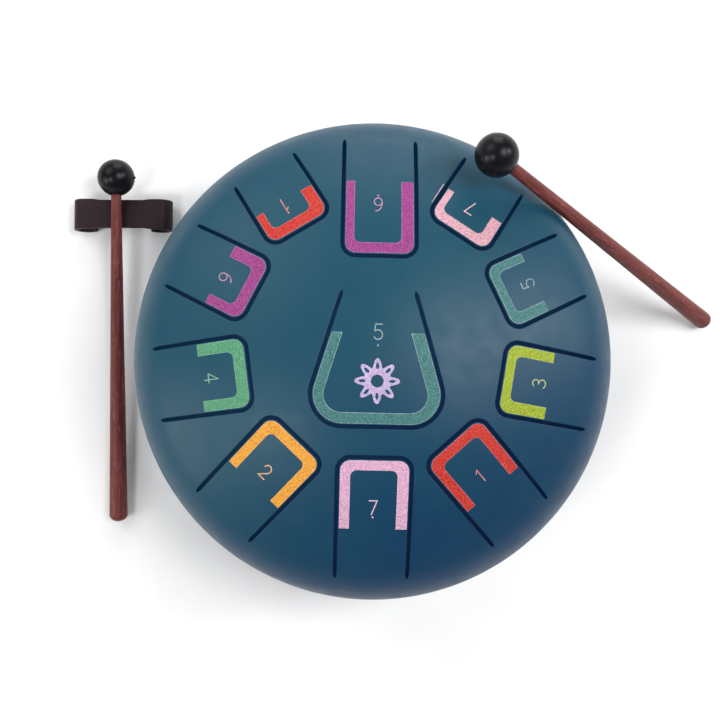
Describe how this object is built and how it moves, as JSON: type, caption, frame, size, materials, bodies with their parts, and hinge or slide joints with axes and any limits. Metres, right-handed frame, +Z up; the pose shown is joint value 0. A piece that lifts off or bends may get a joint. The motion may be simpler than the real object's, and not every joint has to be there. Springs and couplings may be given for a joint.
{
  "type": "steel tongue drum with mallets",
  "caption": "Round two-shell steel tongue drum with colour-banded tongues, rubber feet and a sound hole, with a pair of ball-headed mallets and a clip holder.",
  "frame": {"origin": "middle of the set's footprint on the table top; the drum's axis stands at x = -14.1 mm, y = 0", "axes": "+Z up, +Y towards the low 6 tongue, +X along the set, from the mallet holder towards the leaning mallet"},
  "size_m": [0.3894, 0.255, 0.1338],
  "materials": {
    "paint": "satin",
    "rubber": "moulded",
    "stick": "varnished",
    "holder": "moulded",
    "teal": "printed film",
    "magenta": "printed film",
    "red": "printed film",
    "pink": "printed film",
    "lilac": "printed film",
    "lime": "printed film",
    "green": "printed film",
    "orange": "printed film",
    "emblem": "printed film"
  },
  "bodies": {
    "drum": {"top_shell": "paint", "bottom_shell": "paint", "rim_weld": "paint", "foot_rear_right": "rubber", "foot_front_right": "rubber", "foot_front_left": "rubber", "foot_rear_left": "rubber"},
    "low_6_tongue": {"tongue_low_6": "paint", "band_low_6": "magenta", "numeral_low_6": "magenta"},
    "7_tongue": {"tongue_7": "paint", "band_7": "pink", "numeral_7": "pink"},
    "5_tongue": {"tongue_5": "paint", "band_5": "teal", "numeral_5": "teal"},
    "3_tongue": {"tongue_3": "paint", "band_3": "lime", "numeral_3": "lime"},
    "1_tongue": {"tongue_1": "paint", "band_1": "red", "numeral_1": "red"},
    "low_7_tongue": {"tongue_low_7": "paint", "band_low_7": "lilac", "numeral_low_7": "lilac"},
    "2_tongue": {"tongue_2": "paint", "band_2": "orange", "numeral_2": "orange"},
    "4_tongue": {"tongue_4": "paint", "band_4": "green", "numeral_4": "green"},
    "6_tongue": {"tongue_6": "paint", "band_6": "magenta", "numeral_6": "magenta"},
    "high_1_tongue": {"tongue_high_1": "paint", "band_high_1": "red", "numeral_high_1": "red"},
    "low_5_tongue": {"tongue_low_5": "paint", "band_low_5": "teal", "numeral_low_5": "teal", "centre_emblem": "emblem"},
    "holder": {"mallet_holder": "holder"},
    "mallet_1": {"mallet_1_stick": "stick", "mallet_1_head": "rubber"},
    "mallet_2": {"mallet_2_stick": "stick", "mallet_2_head": "rubber"}
  },
  "joints": [
    {"name": "low_6_flex", "type": "hinge", "parent": "drum", "child": "low_6_tongue", "pos_m": [-0.0141, 0.11103, 0.09931], "axis": [1, 0, 0], "range_deg": [-0.4, 0.4], "stiffness_Nm_per_rad": 50},
    {"name": "7_flex", "type": "hinge", "parent": "drum", "child": "7_tongue", "pos_m": [0.04481, 0.09427, 0.09922], "axis": [0.848, -0.5299, 0], "range_deg": [-0.4, 0.4], "stiffness_Nm_per_rad": 50},
    {"name": "5_flex", "type": "hinge", "parent": "drum", "child": "5_tongue", "pos_m": [0.08538, 0.0496, 0.09922], "axis": [0.4462, -0.8949, 0], "range_deg": [-0.4, 0.4], "stiffness_Nm_per_rad": 50},
    {"name": "3_flex", "type": "hinge", "parent": "drum", "child": "3_tongue", "pos_m": [0.09571, -0.01641, 0.09931], "axis": [-0.1478, -0.989, 0], "range_deg": [-0.4, 0.4], "stiffness_Nm_per_rad": 50},
    {"name": "1_flex", "type": "hinge", "parent": "drum", "child": "1_tongue", "pos_m": [0.06091, -0.08186, 0.09931], "axis": [-0.7373, -0.6756, 0], "range_deg": [-0.4, 0.4], "stiffness_Nm_per_rad": 50},
    {"name": "low_7_flex", "type": "hinge", "parent": "drum", "child": "low_7_tongue", "pos_m": [-0.0141, -0.11103, 0.09931], "axis": [-1, 0, 0], "range_deg": [-0.4, 0.4], "stiffness_Nm_per_rad": 50},
    {"name": "2_flex", "type": "hinge", "parent": "drum", "child": "2_tongue", "pos_m": [-0.08911, -0.08186, 0.09931], "axis": [-0.7373, 0.6756, 0], "range_deg": [-0.4, 0.4], "stiffness_Nm_per_rad": 50},
    {"name": "4_flex", "type": "hinge", "parent": "drum", "child": "4_tongue", "pos_m": [-0.12391, -0.01641, 0.09931], "axis": [-0.1478, 0.989, 0], "range_deg": [-0.4, 0.4], "stiffness_Nm_per_rad": 50},
    {"name": "6_flex", "type": "hinge", "parent": "drum", "child": "6_tongue", "pos_m": [-0.11358, 0.0496, 0.09922], "axis": [0.4462, 0.8949, 0], "range_deg": [-0.4, 0.4], "stiffness_Nm_per_rad": 50},
    {"name": "high_1_flex", "type": "hinge", "parent": "drum", "child": "high_1_tongue", "pos_m": [-0.07301, 0.09427, 0.09922], "axis": [0.848, 0.5299, 0], "range_deg": [-0.4, 0.4], "stiffness_Nm_per_rad": 50},
    {"name": "low_5_flex", "type": "hinge", "parent": "drum", "child": "low_5_tongue", "pos_m": [-0.0141, 0.031, 0.12535], "axis": [1, 0, 0], "range_deg": [-0.4, 0.4], "stiffness_Nm_per_rad": 50},
    {"name": "holder_lift", "type": "slide", "parent": "drum", "child": "holder", "axis": [0, 0, 1], "range_m": [0, 0.1]},
    {"name": "mallet_1_lift", "type": "slide", "parent": "holder", "child": "mallet_1", "axis": [0, 0, 1], "range_m": [0, 0.12]},
    {"name": "mallet_2_lift", "type": "slide", "parent": "drum", "child": "mallet_2", "axis": [0, 0, 1], "range_m": [0, 0.15]}
  ]
}
